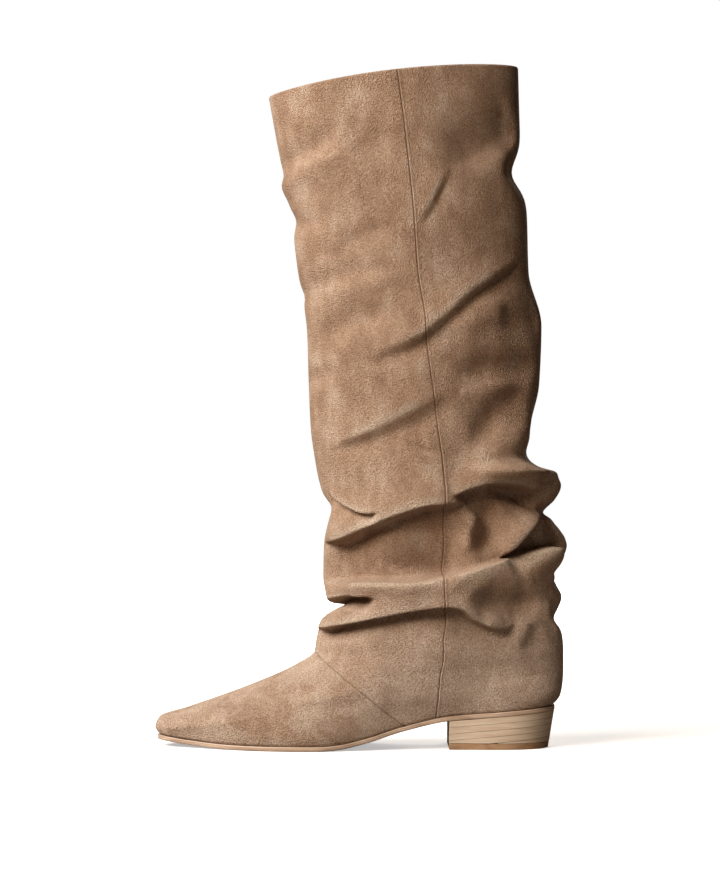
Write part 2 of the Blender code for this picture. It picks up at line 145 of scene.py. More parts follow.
class Ring(NamedTuple):
    """One section of the upper, from its front point to its back point, in the boot's side view.

    seam is the side seam's share of the length from the front. last is 1 where the ring follows the sole
    line and 0 on the plain shaft. nose and tail are the rounded shares of the length, and power is the
    squareness of that rounding. crown lifts the ring's sides above the line from front to back.
    """

    name: str
    front_x: float
    front_z: float
    back_x: float
    back_z: float
    half_width: float
    seam: float
    last: float = 0.0
    nose: float = 0.5
    tail: float = 0.5
    power: float = 2.0
    crown: float = 0.0


SEAT_TOP = BOOT.seat_back + BOOT.sole_thickness + BOOT.gap
TOE_TOP = BOOT.toe_spring + BOOT.sole_thickness + BOOT.gap
FEATHER = Ring(
    "feather", BOOT.toe_x, TOE_TOP, BOOT.heel_x, SEAT_TOP, BOOT.ball_half, 0.70,
    1.0, BOOT.sole_nose, BOOT.sole_tail, BOOT.sole_power,
)
RINGS = (
    FEATHER,
    Ring("wall", BOOT.toe_x - 2.2, 12.5, 132.3, 34.0, 1.02 * BOOT.ball_half, 0.693, 0.95, 0.045, 0.15, 2.4),
    Ring("toe_top", BOOT.toe_x + 0.8, 19.2, 134.0, 43.0, 0.98 * BOOT.ball_half, 0.688,
         0.75, 0.18, 0.17, 2.1),
    Ring("vamp_front", -112.4, 0.42 * BOOT.instep, 134.4, 50.0, 0.88 * BOOT.ball_half, 0.665,
         0.37, 0.33, 0.23),
    Ring("vamp_middle", -74.7, 0.63 * BOOT.instep, 134.4, 57.0, 0.85 * BOOT.ball_half, 0.608,
         0.12, 0.5, 0.32),
    Ring("vamp_back", -40.2, 0.87 * BOOT.instep, 134.4, 63.5, 0.885 * BOOT.ball_half, 0.541,
         0.03, 0.52, 0.44),
    Ring("instep", -29.3, BOOT.instep, 134.2, 68.5, 35.5, 0.512),
    Ring("ankle_low", -28.6, 68.5, 133.6, 73.0, 36.5, 0.511),
    Ring("ankle", -26.0, 82.0, 131.0, 85.0, 38.5, 0.522),
    Ring("slouch_low", -24.0, 105.0, 128.0, 107.0, 41.0, 0.516),
    Ring("slouch_middle", -23.5, 130.0, 124.0, 131.0, 42.5, 0.536),
    Ring("slouch_top", -23.5, 158.0, 118.0, 158.0, 43.0, 0.555),
    Ring("neck", -28.0, 182.0, 112.5, 184.0, 42.5, 0.585),
    Ring("calf_low", -32.0, 210.0, 112.5, 207.0, 42.5, 0.574),
    Ring("calf", -33.3, 240.0, 118.5, 238.0, 44.0, 0.529),
    Ring("calf_full", -34.3, 272.0, 120.0, 276.0, 45.0, 0.5),
    Ring("calf_top", -40.5, 313.0, 111.5, 312.0, 44.0, 0.514),
    Ring("shin", -45.5, 352.0, 110.4, 350.0, 43.0, 0.516),
    Ring("below_collar", -54.0, 396.0, 106.0, 400.0, 41.0, 0.525),
    Ring("collar", -59.6, BOOT.shaft_front, 104.6, BOOT.shaft_back, 38.5, 0.512, crown=4.0),
)


class Fold(NamedTuple):
    """One fold of the slouched shaft, along a smooth path of (turn, height) places.

    Turn is 0 at the front, 90 on the outer side seam, 180 at the back and negative on the inner side.
    The crest stands out by rise (a trough is negative). It fades over soft millimetres on the left of the
    path and over edge on the right, where a hollow of its own depth and reach may follow. drop lets the
    crest hang down. Both ends run out over the fade share of the path.
    """

    name: str
    path: tuple[tuple[float, float], ...]
    rise: float
    soft: float
    edge: float
    hollow: float = 0.0
    reach: float = 10.0
    drop: float = 0.0
    fade: float = 0.3


FOLDS = (
    Fold("front_notch", ((-70, 162), (0, 157), (28, 157)), -7.0, 6, 14),
    Fold("front_lip", ((20, 168), (32, 162), (40, 159), (48, 157), (58, 157)),
         1.5, 8, 1.5, 6.5, 6, 1.0, 0.15),
    Fold("upper_lip", ((9, 134), (34, 140), (54, 149), (70, 157), (85, 162), (106, 162)),
         7.0, 15, 3, 9.0, 15, 2.0, 0.2),
    Fold("upper_recess", ((1, 111), (58, 112), (83, 114), (107, 120)), -10.5, 22, 3),
    Fold("seam_pocket", ((92, 158), (92, 136), (91, 103)), -10.0, 8, 20),
    Fold("back_lip", ((94, 165), (103, 172), (122, 176), (145, 174), (165, 169)),
         3.0, 8, 2, 16.0, 16, 3.0, 0.12),
    Fold("bulge_top", ((100, 183), (135, 182), (180, 178), (215, 176), (250, 170)), 13.0, 6, 7),
    Fold("bulge_belly", ((150, 170), (165, 168), (184, 166), (215, 164), (255, 158)), 17.0, 9, 11),
    Fold("bulge_shoulder", ((140, 194), (180, 193), (225, 190)), -2.5, 7, 6),
    Fold("bulge_notch", ((158, 153), (180, 153), (205, 154)), -5.0, 4, 3.5),
    Fold("side_ridge", ((111, 157), (108, 150), (102, 136), (99, 126)), 3.0, 5, 5),
    Fold("side_valley", ((122, 168), (119, 150), (113, 136), (109, 125)), -9.0, 8, 11),
    Fold("pocket_ridge", ((116, 124), (126, 133), (137, 142), (150, 151), (160, 157)), 2.5, 7, 8),
    Fold("pocket_edge", ((119, 124), (127, 130), (140, 141), (152, 149), (165, 154)),
         7.0, 10, 2, 20.0, 15, 0.0, 0.2),
    Fold("back_roll", ((172, 134), (194, 128), (222, 126)), 13.0, 20, 13, fade=0.2),
    Fold("shelf", ((178, 128), (160, 129), (129, 124), (102, 115), (80, 109)),
         7.0, 24, 2, 2.5, 12, -1.5, 0.2),
    Fold("shelf_front", ((104, 115), (90, 111), (72, 108), (50, 108), (25, 108)),
         7.0, 9, 2, 2.5, 12, -1.5, 0.25),
    Fold("shelf_end", ((177, 126), (160, 127), (140, 126), (122, 121)), 9.0, 13, 2.5, fade=0.25),
    Fold("shelf_valley", ((100, 101), (114, 96), (128, 93), (148, 97)), -8.0, 9, 9),
    Fold("front_slot", ((-60, 101), (-35, 96), (4, 96), (20, 99), (38, 101), (58, 100)),
         1.0, 6, 1.3, 20.0, 7, 1.0, 0.12),
    Fold("slot_lid", ((-50, 94), (0, 93), (24, 96)), -8.0, 9, 4),
    Fold("lower_lip", ((0, 77), (25, 82), (41, 85), (60, 90), (80, 95), (92, 96), (98, 94)),
         5.5, 10, 2, 10.0, 10, 2.5, 0.25),
    Fold("lower_lip_back", ((74, 93), (88, 96), (96, 95), (106, 86), (120, 80), (128, 85)),
         5.0, 9, 3.5, 9.0, 12, 1.5, 0.35),
    Fold("heel_roll", ((106, 89), (116, 88), (128, 92)), 2.0, 7, 7),
    Fold("heel_ridge", ((130, 91), (134, 83), (129, 72), (119, 66)), 2.2, 7, 7),
    Fold("heel_valley", ((145, 82), (138, 74), (129, 65)), -2.2, 8, 8),
    Fold("back_ridge", ((161, 99), (153, 90), (161, 80), (166, 69)), 1.6, 5, 5),
    Fold("back_bulge_low", ((152, 101), (180, 98), (218, 95)), 4.0, 7, 7),
    Fold("back_notch_low", ((152, 88), (180, 84), (212, 83)), -3.0, 5, 5),
    Fold("back_notch_middle", ((156, 113), (180, 113), (208, 114)), -9.5, 4.5, 2.8),
    Fold("ankle_ridge", ((92, 18), (92, 46), (91, 84)), 3.0, 26, 14),
    Fold("shin_trough", ((28, 196), (44, 203), (63, 212), (86, 226), (100, 234)), 1.2, 12, 6, 5.5, 13),
    Fold("seam_crease", ((74, 205), (77, 198), (82, 195), (90, 191)), -1.8, 2, 2),
    Fold("calf_trough", ((108, 190), (112, 199), (120, 210), (130, 222), (146, 233), (162, 237)),
         -4.4, 10, 8),
    Fold("calf_ridge", ((94, 170), (114, 182), (134, 196), (151, 210), (171, 227)), 6.0, 13, 15),
    Fold("calf_band", ((102, 234), (128, 235), (164, 238)), 2.0, 7, 7),
    Fold("calf_hollow", ((98, 243), (122, 246), (165, 250)), -5.0, 10, 9),
    Fold("calf_swell", ((97, 273), (113, 281), (138, 293)), 2.5, 9, 9),
    Fold("back_dimple", ((124, 274), (148, 279), (174, 283)), -3.5, 12, 12),
    Fold("shaft_diagonal", ((52, 250), (70, 259), (86, 268), (92, 274), (116, 298), (160, 322)),
         2.5, 11, 2.5, 4.0, 9),
    Fold("knee_crease", ((90, 339), (94, 345), (99, 354), (105, 368), (112, 378)), 1.0, 9, 1.3, 2.0, 4),
    Fold("back_dip", ((105, 377), (128, 390), (170, 406)), -6.0, 20, 9),
    Fold("back_notch_top", ((140, 377), (180, 377), (222, 379)), -7.5, 12.5, 12.5),
    Fold("shin_dip_top", ((-8, 374), (13, 379), (44, 391), (62, 407)), -3.4, 8, 8),
    Fold("shin_swell_top", ((-20, 364), (0, 367), (20, 372), (41, 380), (64, 389)), 3.0, 8, 8),
    Fold("shin_dip_collar", ((63, 386), (76, 392), (85, 400)), -2.2, 8, 8),
    Fold("shin_dimple", ((-25, 343), (0, 345), (23, 341), (46, 345)), -3.0, 7, 7),
    Fold("shin_dip_knee", ((46, 324), (66, 333), (80, 342)), -2.8, 7, 7),
    Fold("shin_dip_middle", ((-20, 295), (5, 297), (30, 301), (49, 306), (86, 314)), -3.0, 7, 7),
    Fold("shin_swell_middle", ((35, 299), (60, 302), (82, 307)), 1.8, 7, 7),
    Fold("shin_dip_low", ((26, 268), (57, 279), (80, 286)), -3.6, 9, 9),
    Fold("shin_dimple_low", ((0, 239), (28, 243), (41, 248)), -2.0, 6, 6),
    Fold("inner_lip_top", ((-150, 160), (-110, 168), (-60, 163), (-12, 146)), 6.0, 15, 4, 6.0, 14, 3.0),
    Fold("inner_shelf", ((-25, 118), (-70, 114), (-120, 120), (-162, 128)), 4.0, 14, 3, 4.0, 12, -1.0),
    Fold("inner_lip_low", ((-132, 84), (-92, 95), (-50, 92), (-6, 84)), 5.0, 12, 3, 5.0, 10, 2.0),
    Fold("inner_trough", ((-130, 222), (-86, 232), (-40, 208)), -4.0, 9, 9),
    Fold("inner_diagonal", ((-136, 262), (-95, 282), (-58, 304)), 2.5, 12, 5, 2.0, 12),
)


def through(knots: Sequence[float], values: Sequence[float], at: Array) -> Array:
    """A smooth curve through the knots that never swings past its values.

    Args:
        knots: Rising places of the known values.
        values: The known values.
        at: Places where the curve is wanted.

    Returns:
        The curve's values at those places.
    """
    knots, values = np.asarray(knots, float), np.asarray(values, float)
    gaps = np.diff(knots)
    slopes = np.diff(values) / gaps
    tangents = np.empty_like(values)
    tangents[0], tangents[-1] = slopes[0], slopes[-1]
    before, after = slopes[:-1], slopes[1:]
    steady = before * after > 0
    safe_sum = np.where(steady, before + after, 1.0)
    tangents[1:-1] = np.where(steady, 2 * before * after / safe_sum, 0.0)
    at = np.clip(at, knots[0], knots[-1])
    left = np.clip(np.searchsorted(knots, at, side="right") - 1, 0, len(gaps) - 1)
    gap = gaps[left]
    t = (at - knots[left]) / gap
    rising = t * t * (3 - 2 * t)
    bend = tangents[left] * t * (1 - t) ** 2 - tangents[left + 1] * t * t * (1 - t)
    return values[left] * (1 - rising) + values[left + 1] * rising + gap * bend


def rounding(share: Array, rounded: Array | float, power: Array | float) -> Array:
    """Grows from 0 at an end to 1 once the rounded share of the length is passed.

    Args:
        share: Places along the length, from 0 at the end.
        rounded: The share of the length that is rounded.
        power: Squareness of the rounding.

    Returns:
        The width there, as a share of the full width.
    """
    left = np.clip(1 - share / rounded, 0.0, 1.0)
    return (1 - left**power) ** (1 / power)


def bell(distance: Array, width: float) -> Array:
    """A soft hump of height 1 that fades over a width."""
    return np.exp(-((distance / width) ** 2))


def unit(vectors: Array) -> Array:
    """The vectors at length 1."""
    return vectors / np.linalg.norm(vectors, axis=-1, keepdims=True)


def travelled(line: Array) -> Array:
    """Length along a line of points, from 0 at its first."""
    return np.concatenate([[0.0], np.cumsum(np.linalg.norm(np.diff(line, axis=0), axis=1))])


def wrapped(turn: Array) -> Array:
    """Turns brought to within half a turn of the front."""
    return (turn + HALF_TURN) % (2 * HALF_TURN) - HALF_TURN


class SolePlan:
    """The sole line: outline, swing and height, read from the sole table."""

    along = [row.along for row in SOLE]

    def value(self, column: str, x: Array | float) -> Array:
        """A column of the sole table at places along the boot."""
        share = (np.asarray(x, float) - BOOT.toe_x) / BOOT.sole_length
        return through(self.along, [getattr(row, column) for row in SOLE], share)

    def half_width(self, x: Array | float, margin: float) -> Array:
        """The half width with the squared toe and the round back.

        Args:
            x: Places along the boot.
            margin: How far the outline is grown outwards.

        Returns:
            The half widths there.
        """
        share = (np.asarray(x, float) - BOOT.toe_x + margin) / (BOOT.sole_length + 2 * margin)
        toe = rounding(share, BOOT.sole_nose, BOOT.sole_power)
        back = rounding(1 - share, BOOT.sole_tail, BOOT.sole_power)
        return (BOOT.ball_half * self.value("width", x) + margin) * toe * back


@dataclass
class FoldPath:
    """A fold laid out on the unrolled shaft, ready to push a skin."""

    fold: Fold
    segments: int = 32
    reach_factor: float = 3.2
    end_width: float = 0.4
    points: Array = field(init=False)

    def __post_init__(self) -> None:
        """Draws the smooth path through the fold's places."""
        places = np.array(self.fold.path, float) * np.array([BOOT.shaft_mm_per_degree, 1.0])
        travel = travelled(places)
        at = np.linspace(0.0, travel[-1], self.segments + 1)
        self.points = np.stack([through(travel, places[:, axis], at) for axis in (0, 1)], axis=-1)

    def push(self, turn: Array, height: Array) -> tuple[Array, Array]:
        """How far the fold pushes each place out, and how strongly its crest acts there.

        Args:
            turn: Turns round the leg, in degrees.
            height: Heights above the floor.

        Returns:
            The push in millimetres and the crest's strength from 0 to 1.
        """
        fold = self.fold
        middle = np.mean([place[0] for place in fold.path])
        near_turn = wrapped(turn - middle) + middle
        places = np.stack([near_turn * BOOT.shaft_mm_per_degree, height], axis=-1)
        margin = self.reach_factor * max(fold.soft, fold.edge, fold.reach)
        inside = (places > self.points.min(0) - margin) & (places < self.points.max(0) + margin)
        near = inside.all(axis=-1)
        place = places[near]
        start, step = self.points[:-1], np.diff(self.points, axis=0)
        share = ((place[:, None] - start) * step).sum(-1) / (step**2).sum(-1)
        share = np.clip(share, 0.0, 1.0)
        offset = place[:, None] - (start + share[..., None] * step)
        distance = np.linalg.norm(offset, axis=-1)
        best = distance.argmin(axis=-1)
        row = np.arange(len(place))
        turned = step[best, 0] * offset[row, best, 1] - step[best, 1] * offset[row, best, 0]
        away, on_left = distance[row, best], turned > 0
        done = (best + share[row, best]) / self.segments
        inward = np.clip(np.minimum(done, 1 - done) / fold.fade, 0.0, 1.0)
        fade = inward * inward * (3 - 2 * inward)
        taper = self.end_width + (1 - self.end_width) * fade
        crest = bell(away, taper * np.where(on_left, fold.soft, fold.edge))
        hollow = np.where(on_left, 0.0, (1 - crest) * bell(away, fold.reach))
        push, strength = np.zeros(turn.shape), np.zeros(turn.shape)
        push[near] = fade * (fold.rise * crest - fold.hollow * hollow)
        strength[near] = fade * crest
        return push, strength


class Skin(NamedTuple):
    """A stretch of the outer skin: points, plain normals, strength of the painted highlight on fold crests,
    and millimetres a degree.
    """

    points: Array
    normals: Array
    crest: Array
    degree: Array


@dataclass
class UpperForm:
    """The outer skin of the upper at any turn round the leg and rise from the feather line."""

    sole: SolePlan
    crest_highlight_share: float = 0.22
    folds: list[FoldPath] = field(init=False)
    rises: Array = field(init=False)

    def __post_init__(self) -> None:
        """Measures the rings' spacing and lays out the folds."""
        fronts = np.array([(ring.front_x, ring.front_z) for ring in RINGS])
        backs = np.array([(ring.back_x, ring.back_z) for ring in RINGS])
        self.rises = (travelled(fronts) + travelled(backs)) / 2
        self.folds = [FoldPath(fold) for fold in FOLDS]

    @property
    def top(self) -> float:
        """The rise at the collar."""
        return float(self.rises[-1])

    def rise_of(self, name: str) -> float:
        """The rise of a named ring."""
        return float(self.rises[[ring.name for ring in RINGS].index(name)])

    def ring(self, column: str, rise: Array) -> Array:
        """A column of the ring table at a rise."""
        return through(self.rises, [getattr(ring, column) for ring in RINGS], rise)

    def plain(self, turn: Array, rise: Array) -> Array:
        """The unfolded skin.

        Args:
            turn: Turns round the leg, in degrees.
            rise: Rises from the feather line.

        Returns:
            Points in millimetres.
        """
        around = np.abs(wrapped(turn)) / HALF_TURN
        seam_angle = np.arccos(1 - 2 * self.ring("seam", rise))
        front_part = 2 * around * seam_angle
        back_part = seam_angle + (2 * around - 1) * (math.pi - seam_angle)
        along = (1 - np.cos(np.where(around < 0.5, front_part, back_part))) / 2
        x = self.ring("front_x", rise) * (1 - along) + self.ring("back_x", rise) * along
        flat_z = self.ring("front_z", rise) * (1 - along) + self.ring("back_z", rise) * along
        last = self.ring("last", rise)
        power = self.ring("power", rise)
        shape = 1 - last + last * self.sole.value("width", x)
        nose = rounding(along, self.ring("nose", rise), power)
        tail = rounding(1 - along, self.ring("tail", rise), power)
        half = self.ring("half_width", rise) * shape * nose * tail
        sole_line = self.sole.value("under", x) + BOOT.sole_thickness + BOOT.gap
        feather_line = FEATHER.front_z * (1 - along) + FEATHER.back_z * along
        y = self.sole.value("swing", x) - np.sign(wrapped(turn)) * half
        lifted = flat_z + self.ring("crown", rise) * (1 - (2 * along - 1) ** 2)
        return np.stack([x, y, lifted + last * (sole_line - feather_line)], axis=-1)

    def skin(self, turn: Array, rise: Array) -> Skin:
        """The slouched skin: the plain one with every fold pushed out and let down.

        Args:
            turn: Turns round the leg, in degrees.
            rise: Rises from the feather line.

        Returns:
            The skin at those places.
        """
        points = self.plain(turn, rise)
        across = self.plain(turn + NORMAL_STEP, rise) - self.plain(turn - NORMAL_STEP, rise)
        upward = self.plain(turn, rise + NORMAL_STEP) - self.plain(turn, rise - NORMAL_STEP)
        normal = unit(np.cross(across, upward))
        out, drop, crest = (np.zeros(turn.shape) for _ in range(3))
        height = points[..., 2].copy()
        for path in self.folds:
            push, strength = path.push(turn, height)
            out += push
            drop += path.fold.drop * strength
            # Crests of folds that overhang a hollow get a painted highlight
            if path.fold.hollow:
                crest = np.maximum(crest, strength ** (1 / self.crest_highlight_share))
        points = points + out[..., None] * normal
        points[..., 2] -= drop
        return Skin(points, normal, crest, np.linalg.norm(across, axis=-1) / (2 * NORMAL_STEP))


def linear(code: str) -> Colour:
    """The linear colour of an sRGB hex value.

    Args:
        code: The hex value, with its number sign.

    Returns:
        Linear red, green and blue, and an alpha of 1.
    """
    shares = [int(code[place : place + 2], 16) / 255 for place in (1, 3, 5)]
    red, green, blue = (c / 12.92 if c <= 0.04045 else ((c + 0.055) / 1.055) ** 2.4 for c in shares)
    return red, green, blue, 1.0


def per_metre(millimetres: float) -> float:
    """A texture's scale for a pattern of a real size."""
    return 1 / (millimetres * MM)


def set_node(node: Node, settings: dict[str | int, Any]) -> None:
    """Sets a node's properties and inputs, and links each input that is given a socket.

    Args:
        node: The node.
        settings: Values by property name, or values and sockets by the input's name or number.
    """
    for key, value in settings.items():
        if isinstance(value, Socket):
            node.id_data.links.new(value, node.inputs[key])
        elif isinstance(key, str) and key in node.bl_rna.properties:
            setattr(node, key, value)
        else:
            node.inputs[key].default_value = value


def add_node(
    tree: Tree, kind: str, settings: dict[str | int, Any], stops: Stops = (), output: str | int = 0
) -> Socket:
    """Adds a node with its settings and links.

    Args:
        tree: The node tree.
        kind: The node's type, without Blender's ShaderNode in front.
        settings: What set_node takes.
        stops: Places and hex colours of a colour ramp.
        output: Name or number of the output that is wanted.

    Returns:
        That output.
    """
    node = tree.nodes.new(f"ShaderNode{kind}")
    set_node(node, settings)
    for number, (place, colour) in enumerate(stops):
        elements = node.color_ramp.elements
        element = elements[number] if number < len(elements) else elements.new(1.0)
        element.position = place
        element.color = linear(colour)
    return node.outputs[output]


# Input and output numbers of a Mix node, where the names repeat, and input names of a Map Range node
MIX_FACTOR, MIX_FLOAT_A, MIX_FLOAT_B, MIX_A, MIX_B, MIX_RESULT = 0, 2, 3, 6, 7, 2
MAP_INPUTS = ("Value", "From Min", "From Max", "To Min", "To Max")


def new_material(name: str) -> tuple[Material, Tree, Node, Socket]:
    """A material with a bare Principled shader.

    Args:
        name: The material's name.

    Returns:
        The material, its node tree, its shader and the piece's own coordinates.
    """
    material = bpy.data.materials.new(name)
    material.use_nodes = True
    tree = material.node_tree
    return material, tree, tree.nodes["Principled BSDF"], add_node(tree, "TexCoord", {}, output="Object")


@dataclass(frozen=True)
class BrushedSuede:
    """Calf suede, split and buffed: a short nap with no gloss, in lighter and darker brushed patches."""

    name: str = "calf_suede_buffed_nap"
    tones: Stops = ((0.36, "#bd9d86"), (0.47, "#caab93"), (0.55, "#d3b59e"), (0.66, "#e2cab6"))
    speckles: Stops = ((0.36, "#c4bab0"), (0.62, WHITE))
    sheen_tint: str = "#e2cab6"
    # Paler colour for the painted light on the foot
    foot: str = "#f2dfcf"
    # Pale colour of the painted highlight on fold crests and seam lips
    crest: str = "#ead8c6"
    # Dark colour of the painted shade in the seam grooves
    groove: str = "#7d5f4a"
    patch_mm: float = 22.0
    stroke_mm: float = 9.0
    stroke_stretch: float = 0.4
    stroke_degrees: float = 35.0
    stroke_share: float = 0.4
    grain_mm: float = 0.85
    nap_height_mm: float = 2.0
    crest_highlight_gain: float = 0.85
    crest_highlight_power: float = 2.5
    cloud_mm: float = 19.0
    cloud_low: float = 0.42
    cloud_high: float = 0.56
    pale_below_mm: float = 50.0
    plain_above_mm: float = 130.0
    vamp_end_mm: float = -25.0
    quarter_mm: float = 30.0
    vamp_least: float = 0.12
    vamp_most: float = 0.5
    quarter_least: float = 0.5
    quarter_most: float = 0.85

    def painted_foot_light(self, tree: Tree, coordinates: Socket) -> Socket:
        """How far painted light makes the foot paler than the leg: most near the floor and towards the
        quarter, in soft random clouds.

        Args:
            tree: The material's node tree.
            coordinates: The piece's own coordinates.

        Returns:
            The share of the paler colour.
        """
        cloud = add_node(tree, "TexNoise", {
            "Scale": per_metre(self.cloud_mm), "Detail": 3.0, "Roughness": 0.6, "Distortion": 1.0,
            "Vector": coordinates,
        })
        along = add_node(tree, "SeparateXYZ", {0: coordinates})
        stretch = (along, self.vamp_end_mm * MM, self.quarter_mm * MM)
        height = along.node.outputs["Z"]
        ankle = (height, self.pale_below_mm * MM, self.plain_above_mm * MM)
        least, most, low = (
            add_node(tree, "MapRange", dict(zip(MAP_INPUTS, values)))
            for values in (
                (*stretch, self.vamp_least, self.quarter_least),
                (*stretch, self.vamp_most, self.quarter_most),
                (*ankle, 1.0, 0.0),
            )
        )
        clouds = (cloud, self.cloud_low, self.cloud_high, least, most)
        clouded = add_node(tree, "MapRange", dict(zip(MAP_INPUTS, clouds)))
        return add_node(tree, "Math", {"operation": "MULTIPLY", 0: low, 1: clouded})

    def material(self) -> Material:
        """Builds the suede.

        Returns:
            The material.
        """
        material, tree, shader, coordinates = new_material(self.name)
        # The nap lies one way or the other in patches the size of a fingertip
        patch = add_node(tree, "TexNoise", {
            "Scale": per_metre(self.patch_mm), "Detail": 2.0, "Roughness": 0.5, "Distortion": 0.4,
            "Vector": coordinates,
        })
        # Brush strokes run down and back along the leg
        turned = add_node(tree, "Mapping", {
            "Rotation": (0.0, math.radians(self.stroke_degrees), 0.0),
            "Scale": (1.0, 1.0, self.stroke_stretch),
            "Vector": coordinates,
        })
        stroke = add_node(tree, "TexNoise", {
            "Scale": per_metre(self.stroke_mm), "Detail": 1.0, "Roughness": 0.5, "Vector": turned,
        })
        tone = add_node(tree, "Mix", {
            "data_type": "FLOAT", MIX_FACTOR: self.stroke_share, MIX_FLOAT_A: patch, MIX_FLOAT_B: stroke,
        })
        colour = add_node(tree, "ValToRGB", {"Fac": tone}, self.tones)
        # Real nap fibres are far finer than a pixel, so their clumps are drawn about two pixels wide
        grain = add_node(tree, "TexNoise", {
            "Scale": per_metre(self.grain_mm), "Detail": 2.0, "Roughness": 0.6, "Vector": coordinates,
        })
        speckle = add_node(tree, "ValToRGB", {"Fac": grain}, self.speckles)
        # Painted highlight: fold crests and seam lips are coloured pale. Painted shade: seam grooves are
        # coloured dark
        crest, groove = (
            add_node(tree, "Attribute", {"attribute_name": name}, output="Fac")
            for name in ("crest", "groove")
        )
        narrow = add_node(tree, "Math", {"operation": "POWER", 0: crest, 1: self.crest_highlight_power})
        painted_highlight = add_node(tree, "Math", {"operation": "MULTIPLY", 0: narrow, 1: self.crest_highlight_gain})
        # Layers: painted light on the foot, painted highlight on crests and lips, the grain, painted shade
        # in the seam grooves
        layers = (
            ("MIX", self.painted_foot_light(tree, coordinates), linear(self.foot)),
            ("MIX", painted_highlight, linear(self.crest)),
            ("MULTIPLY", 1.0, speckle),
            ("MIX", groove, linear(self.groove)),
        )
        for blend, share, over in layers:
            colour = add_node(tree, "Mix", {
                "data_type": "RGBA", "blend_type": blend, MIX_FACTOR: share, MIX_A: colour, MIX_B: over,
            }, output=MIX_RESULT)
        nap = add_node(tree, "Bump", {
            "Strength": 1.0, "Distance": self.nap_height_mm * MM, "Height": grain,
        })
        set_node(shader, {
            "Base Color": colour,
            "Normal": nap,
            "Roughness": 0.95,
            "Specular IOR Level": 0.15,
            "Diffuse Roughness": 0.2,
            "Sheen Weight": 0.2,
            "Sheen Roughness": 0.5,
            "Sheen Tint": linear(self.sheen_tint),
        })
        return material


@dataclass(frozen=True)
class PlainLeather:
    """Leather or rubber finished smooth: an even tone with a fine grain and a soft gloss."""

    name: str
    dark: str
    pale: str
    mottle_mm: float
    roughness: float
    relief_mm: float
    stretch: Point = (1.0, 1.0, 1.0)
    tilt_degrees: float = 0.0
    grain_mm: float = 1.5
    dark_place: float = 0.36
    pale_place: float = 0.6
    gloss_swing: float = 0.08

    def material(self) -> Material:
        """Builds the leather.

        Returns:
            The material.
        """
        material, tree, shader, coordinates = new_material(self.name)
        laid = add_node(tree, "Mapping", {
            "Rotation": (0.0, math.radians(self.tilt_degrees), 0.0),
            "Scale": self.stretch,
            "Vector": coordinates,
        })
        mottle = add_node(tree, "TexNoise", {
            "Scale": per_metre(self.mottle_mm), "Detail": 4.0, "Roughness": 0.6, "Vector": laid,
        })
        stops = ((self.dark_place, self.dark), (self.pale_place, self.pale))
        grain = add_node(tree, "TexNoise", {
            "Scale": per_metre(self.grain_mm), "Detail": 3.0, "Vector": laid,
        })
        set_node(shader, {
            "Base Color": add_node(tree, "ValToRGB", {"Fac": mottle}, stops),
            "Roughness": add_node(tree, "MapRange", {
                "Value": mottle,
                "To Min": self.roughness - self.gloss_swing,
                "To Max": self.roughness + self.gloss_swing,
            }),
            "Normal": add_node(tree, "Bump", {
                "Strength": 1.0, "Distance": self.relief_mm * MM, "Height": grain,
            }),
        })
        return material


STACK_TILT = math.degrees(math.atan2(SEAT_RISE, BOOT.sole_length * (1 - BREAST_ALONG)))

# Pigskin lining, dyed and left matt: pale and even, with a fine pebble
LINING = PlainLeather(
    "pigskin_lining_matt", "#a98c70", "#bfa386", mottle_mm=12.0, roughness=0.7, relief_mm=0.08
)
# Vegetable tanned sole leather, trimmed and burnished: a smooth pinkish edge with a low gloss
SOLE_EDGE = PlainLeather(
    "sole_leather_burnished_edge", "#b99d87", "#d6bea8",
    mottle_mm=8.0, roughness=0.45, relief_mm=0.05, stretch=(0.3, 0.3, 2.0),
)
# Cut leather lifts, sanded and waxed: pale fibre lines that run along each layer
STACK = PlainLeather(
    "stacked_leather_sanded_waxed", "#dac1a7", "#ead7c1",
    mottle_mm=6.0, roughness=0.5, relief_mm=0.04, stretch=(0.25, 0.25, 3.0), tilt_degrees=STACK_TILT,
)
# Moulded rubber top piece: a darker even brown, nearly matt
TOP_PIECE = PlainLeather(
    "rubber_moulded_top_piece", "#a98262", "#c09a78",
    mottle_mm=5.0, roughness=0.6, relief_mm=0.05, stretch=(0.5, 0.5, 1.0),
)
# Sock leather, glazed by wear: warm and pale
SOCK = PlainLeather(
    "sock_leather_smooth", "#ab8a69", "#c2a382", mottle_mm=14.0, roughness=0.55, relief_mm=0.08
)


@dataclass(frozen=True)
class WaxedThread:
    """Bonded polyester thread, twisted and waxed: a dark strand with a faint shine."""

    name: str = "polyester_thread_waxed"
    tones: Stops = ((0.35, "#4d3828"), (0.65, "#6b503b"))
    twist_mm: float = 0.5

    def material(self) -> Material:
        """Builds the thread.

        Returns:
            The material.
        """
        material, tree, shader, coordinates = new_material(self.name)
        twist = add_node(tree, "TexNoise", {"Scale": per_metre(self.twist_mm), "Vector": coordinates})
        tone = add_node(tree, "ValToRGB", {"Fac": twist}, self.tones)
        set_node(shader, {"Base Color": tone, "Roughness": 0.55})
        return material


def grid_faces(rows: int, columns: int, closed: bool = False) -> Array:
    """Quads over a grid of points that is stored row by row.

    Args:
        rows: Number of rows.
        columns: Number of points in a row.
        closed: Whether each row is a closed loop.

    Returns:
        Point numbers, one quad a row, facing outwards where rows climb and columns turn round the leg.
    """
    left = np.arange(columns if closed else columns - 1)
    right = (left + 1) % columns
    base = np.arange(rows - 1)[:, None] * columns
    quads = np.stack([base + left, base + right, base + columns + right, base + columns + left], axis=-1)
    return quads.reshape(-1, 4)


